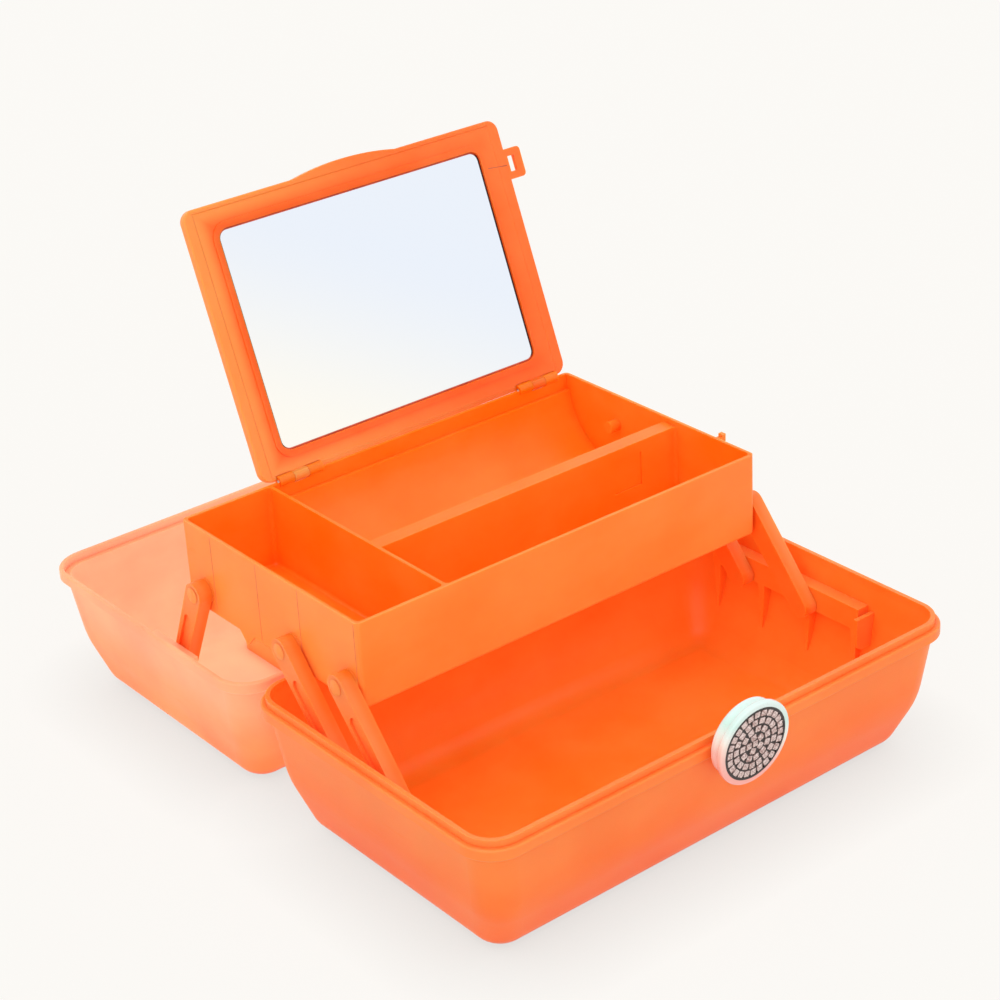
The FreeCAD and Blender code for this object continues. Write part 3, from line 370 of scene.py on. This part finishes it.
def tray_wall(place):
    """1 on the outer faces of the tray's ends and front, 0 on its bays, land and trough."""
    start, full = SKIN_DEPTHS
    end = place.axis("X").magnitude().between(TRAY_END - start, TRAY_END - full)
    front = (TRAY_FRONT - place.axis("Y")).between(-start, -full)
    return end.larger(front)


def from_glass_middle(place):
    """How far a place is from the glass's middle, to the left or right, and half the glass's width."""
    low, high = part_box("mirror_glass")
    across = place.axis("X") - (low.x + high.x) / 2
    return across.magnitude(), (high.x - low.x) / 2


def frame_distance(place):
    """How far out a place on the open mirror's frame is from the glass."""
    low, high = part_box("mirror_glass")
    middle = (low + high) / 2
    rise = GLASS_UP[0] * place.axis("Y") + GLASS_UP[1] * place.axis("Z")
    along = rise - (GLASS_UP[0] * middle.y + GLASS_UP[1] * middle.z)
    across, half = from_glass_middle(place)
    return (across - half).larger(along.magnitude() - GLASS_HEIGHT / 2)


def frame_wall(place):
    """On the mirror's frame: 0 beside the glass, up to 1 on the outer band, paler towards the left; it places
    painted light and shade.
    """
    left = 1.0 - FADE_SHARE * place.axis("X").between(*FRAME_FADE)
    return frame_distance(place).between(*FRAME_BAND) * left


def frame_relief(place):
    """The step in the mirror's frame, part of the way out from the glass."""
    return frame_distance(place).between(*BAND_STEP)


def glass_ends(place):
    """1 at the two ends of the glass, 0 between them."""
    across, half = from_glass_middle(place)
    return across.between(half - END_SHADE[0], half - END_SHADE[1])


def arm_wall(place):
    """0 on an arm's inner side, 1 on its outer one."""
    return place.axis("X").magnitude().between(*ARM_SIDES)


def pearl_plastic(name):
    """Opal latch plastic: mint at the top and right, cream across the middle, a painted pink sheen low on the
    left, and a faint painted glow.
    """
    material, place = started(name)
    swirl = place.noise(PEARL_SWIRL, 2.0, 0.5) - 0.5
    lifted = place.axis("Z") + PEARL_LEAN * place.axis("X") + PEARL_WAVE * swirl
    # colour bands: mint and cream of the body, and a painted pink sheen low on the left
    colour = place.node("ShaderNodeValToRGB", {"stops": PEARL_TINT_AND_SHEEN}, {0: lifted.between(*PEARL_SPAN)})
    flakes = place.noise(PEARL_FLAKE, 2.0, 0.6)
    return finished(material, place, Base_Color=colour,
                    Roughness=0.26 + 0.10 * (flakes - 0.5) + 0.12 * swirl,
                    Subsurface_Weight=0.25, Subsurface_Radius=(1.0, 0.9, 0.9), Subsurface_Scale=2.0 * MM,
                    Coat_Weight=0.4, Coat_Roughness=0.12, Emission_Color=colour, Emission_Strength=0.06,
                    Normal=flakes.bump(0.02 * MM, 0.5))


def black_plastic(name):
    """Black dial plastic with a fine grain and a little dust."""
    material, place = started(name)
    grain = place.noise(BLACK_GRAIN, 2.0, 0.6)
    dust = place.noise(DUST, 3.0, 0.6).between(0.45, 0.75)
    return finished(material, place,
                    Base_Color=dust.mixed((0.022, 0.012, 0.010, 1), (0.050, 0.031, 0.027, 1)),
                    Roughness=0.36 + 0.14 * (grain - 0.5) + 0.12 * dust, Normal=grain.bump(0.03 * MM, 0.5))


def blush_stone(name):
    """Foiled glass stones: blush and silver, each a little different, with painted glints: bright, more
    metallic patches.
    """
    material, place = started(name)
    tint = place.node("ShaderNodeAttribute", {"attribute_name": "tint"}, None, "Fac")
    # painted glints: bright patches in the colour and the metal
    painted_glint = place.noise(STONE_GLINT, 2.0, 0.6).between(0.38, 0.62)
    stone = tint.mixed((0.46, 0.27, 0.24, 1), (0.66, 0.48, 0.45, 1))
    return finished(material, place, Base_Color=painted_glint.mixed(stone, (0.85, 0.68, 0.64, 1)),
                    Metallic=0.35 + 0.4 * painted_glint, Roughness=0.16 + 0.14 * tint,
                    Coat_Weight=0.8, Coat_Roughness=0.04, Normal=painted_glint.bump(0.05 * MM, 0.4))


def silvered_glass(name):
    """Mirror: silver with a painted reflection, a cool tint above and warmer towards the lower left, and
    faint hand smears.
    """
    material, place = started(name)
    # painted reflection: cool above, warmer towards the lower left
    cool = (place.axis("Z") + REFLECTION_LEAN * place.axis("X")).between(*REFLECTION_SPAN)
    smears = place.moved(Scale=(1.0, 2.5, 1.0)).noise(HAND_SMEAR, 3.0, 0.6).between(0.5, 0.85)
    return finished(material, place,
                    Base_Color=cool.mixed((1.0, 0.965, 0.875, 1), (0.835, 0.885, 0.965, 1)),
                    Metallic=1.0, Roughness=0.015 + 0.035 * smears)


def bright_steel(name):
    """Drawn hinge wire: fine marks along it, duller here and there."""
    material, place = started(name)
    drawn = place.moved(Scale=(0.05, 1.0, 1.0)).noise(WIRE_MARK, 3.0, 0.6)
    dull = place.noise(WIRE_DULL, 2.0, 0.6)
    return finished(material, place,
                    Base_Color=dull.mixed((0.48, 0.48, 0.49, 1), (0.66, 0.66, 0.67, 1)),
                    Metallic=1.0, Roughness=0.24 + 0.16 * drawn, Normal=drawn.bump(0.02 * MM, 0.5))


def dark_edge(name, shades, ends=None):
    """Line painted with shade for a cut edge, seam or step, uneven along its length, and black where
    ends(place) is 1.
    """
    material, place = started(name)
    patchy = place.noise(PATCH_LENGTH, 3.0, 0.6).between(0.35, 0.65)
    # painted shade, patchy along the line
    colour = patchy.mixed(*shades)
    if ends:
        colour = ends(place).mixed(colour, CUT_BLACK)
    return finished(material, place, Base_Color=colour, Roughness=0.45 + 0.2 * patchy)


# ---------------------------------------------------------------- modelling by hand
def alone(piece):
    """Makes a piece the only one selected, and the active one."""
    bpy.ops.object.select_all(action="DESELECT")
    piece.select_set(True)
    bpy.context.view_layer.objects.active = piece


def named(name):
    """The primitive just added, under its own name and with its size and place in its mesh."""
    piece = bpy.context.object
    piece.name = name
    piece.data.name = name
    alone(piece)
    bpy.ops.object.transform_apply(location=True, rotation=True, scale=True)
    return piece


def block(name, place, size, turn=0.0):
    """A new block of this size, with its middle at this place, turned about the vertical."""
    bpy.ops.object.select_all(action="DESELECT")
    bpy.ops.mesh.primitive_cube_add(size=1, location=place, rotation=(0, 0, turn), scale=size)
    return named(name)


def opened(piece):
    """Starts edit mode on one piece."""
    alone(piece)
    bpy.ops.object.mode_set(mode="EDIT")


def closed():
    """Ends edit mode."""
    bpy.ops.object.mode_set(mode="OBJECT")


def picked(piece, test, kind="FACE"):
    """In edit mode, selects only the faces or edges that pass the test."""
    bpy.ops.mesh.select_mode(type=kind)
    bpy.ops.mesh.select_all(action="DESELECT")
    mesh = bmesh.from_edit_mesh(piece.data)
    for part in (mesh.faces if kind == "FACE" else mesh.edges):
        part.select_set(bool(test(part)))
    bmesh.update_edit_mesh(piece.data)


def copies(piece, name, places, tints=None):
    """Lays one copy of a piece at each place and joins them. The piece itself is used up."""
    laid = []
    for number, place in enumerate(places):
        copy = piece.copy()
        copy.data = piece.data.copy()
        copy.data.transform(place)
        if tints:
            tint = copy.data.attributes.new("tint", "FLOAT", "POINT")
            for spot in tint.data:
                spot.value = tints[number]
        bpy.context.scene.collection.objects.link(copy)
        laid.append(copy)
    bpy.data.objects.remove(piece)
    bpy.ops.object.select_all(action="DESELECT")
    for copy in laid:
        copy.select_set(True)
    bpy.context.view_layer.objects.active = laid[0]
    bpy.ops.object.join()
    joined = bpy.context.object
    joined.name = name
    joined.data.name = name
    return joined


def dressed(piece, body, material, angle=30.0):
    """Shades a piece, gives it its material and puts it on its body."""
    alone(piece)
    bpy.ops.object.shade_smooth_by_angle(angle=math.radians(angle))
    piece.data.materials.clear()
    piece.data.materials.append(material)
    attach(piece, body)


def dial_frame(nodes):
    """Turns the dial's own plane, with +Z out of its face, to its place on the leaning latch."""
    low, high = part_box("latch_stone_plate")
    turned = Matrix.Translation((low + high) / 2) @ Matrix.Rotation(math.radians(90 + LATCH_LEAN), 4, "X")
    back = turned.inverted()
    face = max((back @ corner.co).z for corner in nodes["latch_stone_plate"].data.vertices)
    return turned @ Matrix.Translation((0, 0, face))


def dial_stones(nodes, material):
    """Square cut stones in rings: a girdle, four sloping crown facets and a flat table."""
    stone = block("stone", (0, 0, STONE_GIRDLE / 2), (STONE_WIDE, STONE_DEEP, STONE_GIRDLE))
    opened(stone)
    picked(stone, lambda edge: abs(edge.verts[0].co.z - edge.verts[1].co.z) > STONE_GIRDLE / 2, "EDGE")
    bpy.ops.mesh.bevel(offset=STONE_CORNER, segments=1)
    picked(stone, lambda face: face.normal.z > STRAIGHT)
    bpy.ops.mesh.inset(thickness=STONE_TABLE)
    bpy.ops.transform.translate(value=(0, 0, STONE_CROWN))
    picked(stone, lambda face: face.normal.z < -STRAIGHT)
    bpy.ops.mesh.delete(type="FACE")
    closed()
    frame = dial_frame(nodes)
    chance = random.Random(7)
    places, tints = [], []
    for ring, count in STONE_RINGS:
        start = RING_SHIFT * (count % 4)
        for step in range(count):
            turn = Matrix.Rotation(2 * math.pi * (step + start) / count, 4, "Z")
            sway = Matrix.Rotation(math.radians(chance.uniform(-STONE_SWAY, STONE_SWAY)), 4, "Z")
            places.append(frame @ turn @ Matrix.Translation((0, ring * MM, 0)) @ sway)
            tints.append(chance.random())
    dressed(copies(stone, "dial_stones", places, tints), "latch", material, 10.0)


def tray_seams(material):
    """Fine mould seams down both ends of the tray."""
    tall = SEAM_HIGH - SEAM_LOW
    seam = block("seam", (SEAM_RISE / 2, 0, SEAM_LOW + tall / 2), (SEAM_RISE, SEAM_WIDTH, tall))
    opened(seam)
    picked(seam, lambda face: face.normal.x > STRAIGHT)
    bpy.ops.transform.resize(value=(1, SEAM_CREST, 1))
    picked(seam, lambda face: face.normal.z < -STRAIGHT)
    bpy.ops.transform.resize(value=(1, SEAM_TIP, 1))
    closed()
    places = []
    for place in SEAM_PLACES:
        places.append(Matrix.Translation((TRAY_END, place * MM, 0)))
        places.append(Matrix.Translation((-TRAY_END, place * MM, 0)) @ Matrix.Rotation(math.pi, 4, "Z"))
    dressed(copies(seam, "tray_seams", places), "tray", material)


def mirror_swing(angle):
    """A turn in degrees about the mirror hinge, in which opening the lid is negative."""
    turn = Matrix.Rotation(math.radians(angle), 4, "X")
    return Matrix.Translation(MIRROR_HINGE) @ turn @ Matrix.Translation(-MIRROR_HINGE)


def swung(piece):
    """Swings a piece drawn on the flat mirror lid open about the mirror hinge."""
    piece.data.transform(mirror_swing(-MIRROR_OPEN))


def glass_place(nodes):
    """Lowest and highest corners of the glass while the mirror lid lies flat."""
    back = mirror_swing(MIRROR_OPEN)
    corners = [back @ corner.co for corner in nodes["mirror_glass"].data.vertices]
    low = Vector(min(corner[axis] for corner in corners) for axis in range(3))
    high = Vector(max(corner[axis] for corner in corners) for axis in range(3))
    return low, high


def glass_edge(nodes, material):
    """Dark cut edge of the glass: a thin round-cornered line just inside its outline."""
    low, high = glass_place(nodes)
    middle = (low + high) / 2
    foot = Vector((middle.x, middle.y, low.z))
    bpy.ops.object.select_all(action="DESELECT")
    bpy.ops.mesh.primitive_plane_add(size=1, location=foot)
    line = named("glass_edge")
    opened(line)
    bpy.ops.mesh.select_all(action="SELECT")
    bpy.ops.transform.resize(value=(high.x - low.x, high.y - low.y, 1), center_override=foot)
    bpy.ops.mesh.bevel(offset=GLASS_CORNER, segments=8, affect="VERTICES")
    bpy.ops.mesh.select_all(action="SELECT")
    bpy.ops.mesh.inset(thickness=EDGE_WIDTH)
    bpy.ops.mesh.delete(type="FACE")
    bpy.ops.mesh.select_all(action="SELECT")
    bpy.ops.mesh.extrude_region_move(TRANSFORM_OT_translate={"value": (0, 0, -EDGE_RISE)})
    bpy.ops.mesh.select_all(action="SELECT")
    bpy.ops.mesh.normals_make_consistent(inside=False)
    closed()
    swung(line)
    dressed(line, "mirror_lid", material)


def frame_step(material):
    """Fine step across the frame's corner, from the bead to the loop."""
    run = STEP_TO - STEP_FROM
    place = (STEP_FROM + STEP_TO) / 2 - Vector((0, 0, STEP_RISE / 2))
    step = block("frame_step", place, (run.length, STEP_WIDTH, STEP_RISE), math.atan2(run.y, run.x))
    opened(step)
    picked(step, lambda face: face.normal.z < -STRAIGHT)
    bpy.ops.transform.resize(value=(*STEP_CREST, 1), center_override=place)
    closed()
    swung(step)
    dressed(step, "mirror_lid", material)


def frame_seal(material):
    """Thin lip along the frame's near edge, which closes the slit over the tray's back wall."""
    left, right = SEAL_ENDS
    place = Vector(((left + right) / 2, MIRROR_HINGE.y - SEAL_DEEP / 2, FRAME_FACE + SEAL_THICK / 2))
    seal = block("frame_seal", place, (right - left, SEAL_DEEP, SEAL_THICK))
    opened(seal)
    picked(seal, lambda edge: abs(edge.verts[0].co.x - edge.verts[1].co.x) > SEAL_DEEP, "EDGE")
    bpy.ops.mesh.bevel(offset=SEAL_EDGE, segments=3)
    closed()
    swung(seal)
    dressed(seal, "mirror_lid", material)


def dress_nodes(nodes):
    """Gives every node of the model its finish, and returns that of the mirror's frame."""
    case = neon_plastic("case_orange", CASE_TONES, tub_wall(-1))
    lid = neon_plastic("lid_orange", LID_TONES, tub_wall(1), LID_GLOW)
    tray = neon_plastic("tray_orange", TRAY_TONES, tray_wall, TRAY_GLOW)
    arms = neon_plastic("arm_orange", ARM_TONES, arm_wall)
    rivets = neon_plastic("rivet_orange", RIVET_TONES, arm_wall, RIVET_GLOW)
    mirror = neon_plastic("mirror_orange", FRAME_TONES, frame_wall, relief=frame_relief)
    steel = bright_steel("hinge_steel")
    looks = {
        "base_shell": case, "lid_shell": lid, "tray_body": tray, "mirror_frame": mirror, "handle_bail": lid,
        "mirror_glass": silvered_glass("mirror_silver"), "latch_button": pearl_plastic("latch_pearl"),
        "latch_ring": black_plastic("dial_black"), "latch_stone_plate": black_plastic("plate_black"),
    }
    for name, node in nodes.items():
        if "hinge_pin" in name or name == "latch_pin" or name.startswith("handle_pin"):
            look = steel
        elif "rivet" in name or "pin" in name:
            look = rivets
        else:
            look = looks.get(name, arms)
        for slot in node.material_slots:
            slot.material = look
    return mirror


def main():
    """Loads the model and finishes it, adds the small pieces, then the camera and the stage."""
    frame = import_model()
    nodes = frame["nodes"]
    mirror = dress_nodes(nodes)
    dial_stones(nodes, blush_stone("dial_stone"))
    tray_seams(dark_edge("seam_shade", SEAM_SHADE))
    glass_edge(nodes, dark_edge("edge_shade", CUT_SHADE, glass_ends))
    frame_seal(mirror)
    frame_step(dark_edge("step_shade", STEP_SHADE))
    camera()
    stage()


# ---------------------------------------------------------------- camera, floor and light
def camera():
    """The eye in front of the case's left corner, above it."""
    data = bpy.data.cameras.new("camera")
    data.lens = CAMERA_LENS
    eye = bpy.data.objects.new("camera", data)
    bpy.context.scene.collection.objects.link(eye)
    turn = Matrix.Rotation(math.radians(CAMERA_TURN), 4, "Z")
    dip = Matrix.Rotation(math.radians(90 - CAMERA_DIP), 4, "X")
    roll = Matrix.Rotation(math.radians(CAMERA_ROLL), 4, "Z")
    eye.matrix_world = Matrix.Translation(CAMERA_PLACE) @ turn @ dip @ roll
    bpy.context.scene.camera = eye


def direct_look(place):
    """1 for rays from the eye, straight, mirrored or through something, else 0."""
    seen = place.node("ShaderNodeLightPath", None, None, "Is Camera Ray") \
        + place.node("ShaderNodeLightPath", None, None, "Is Glossy Ray") \
        + place.node("ShaderNodeLightPath", None, None, "Is Transmission Ray")
    return place.maths("MINIMUM", seen, 1.0)


def paper_floor():
    """Pale paper that the eye sees evenly lit, but for a soft shade round what stands on it."""
    bpy.ops.object.select_all(action="DESELECT")
    bpy.ops.mesh.primitive_plane_add(size=FLOOR_SIZE)
    floor = bpy.context.object
    floor.name = "floor"
    material, place = started("paper_floor")
    fibre = place.noise(PAPER_FIBRE, 2.0, 0.6).bump(0.02 * MM, 0.3)
    paper = place.node("ShaderNodeBsdfDiffuse", None, {"Color": FLOOR_TONE, "Normal": fibre})
    shade = place.node("ShaderNodeAmbientOcclusion", {"samples": 8}, {"Distance": SHADOW_REACH}, "AO")
    level = (1 - SHADOW_DEPTH) + SHADOW_DEPTH * shade
    white = place.node("ShaderNodeEmission", None, {"Color": PAPER, "Strength": level})
    share = (1 - SHADOW_SHARE) * direct_look(place)
    shown(place.node("ShaderNodeMixShader", None, {0: share, 1: paper, 2: white}))
    floor.data.materials.append(material)
    return floor


def even_sky():
    """White to the eye and in reflections, dimmer where it lights the case."""
    world = bpy.data.worlds.new("studio")
    world.use_nodes = True
    world.node_tree.nodes.clear()
    start = Field(world.node_tree)
    level = SKY_LEVEL + (1 - SKY_LEVEL) * direct_look(start)
    background = start.node("ShaderNodeBackground", None, {"Color": WHITE, "Strength": level})
    shown(background, "ShaderNodeOutputWorld")
    bpy.context.scene.world = world


def soft_sun():
    """A wide soft light from high on the front left, as strong as the sky leaves room for."""
    lamp = bpy.data.lights.new("soft_sun", "SUN")
    lamp.angle = math.radians(SUN_WIDTH)
    towards = Vector(SUN_FROM).normalized()
    lamp.energy = (1 - SKY_LEVEL) * math.pi / towards.z
    sun = bpy.data.objects.new("soft_sun", lamp)
    bpy.context.scene.collection.objects.link(sun)
    sun.rotation_euler = towards.to_track_quat("Z", "Y").to_euler()


def stage():
    """The floor, the sky and the sun, at a level that leaves colours as they are written."""
    floor = paper_floor()
    even_sky()
    bpy.context.scene.view_settings.view_transform = "Standard"
    soft_sun()


main()
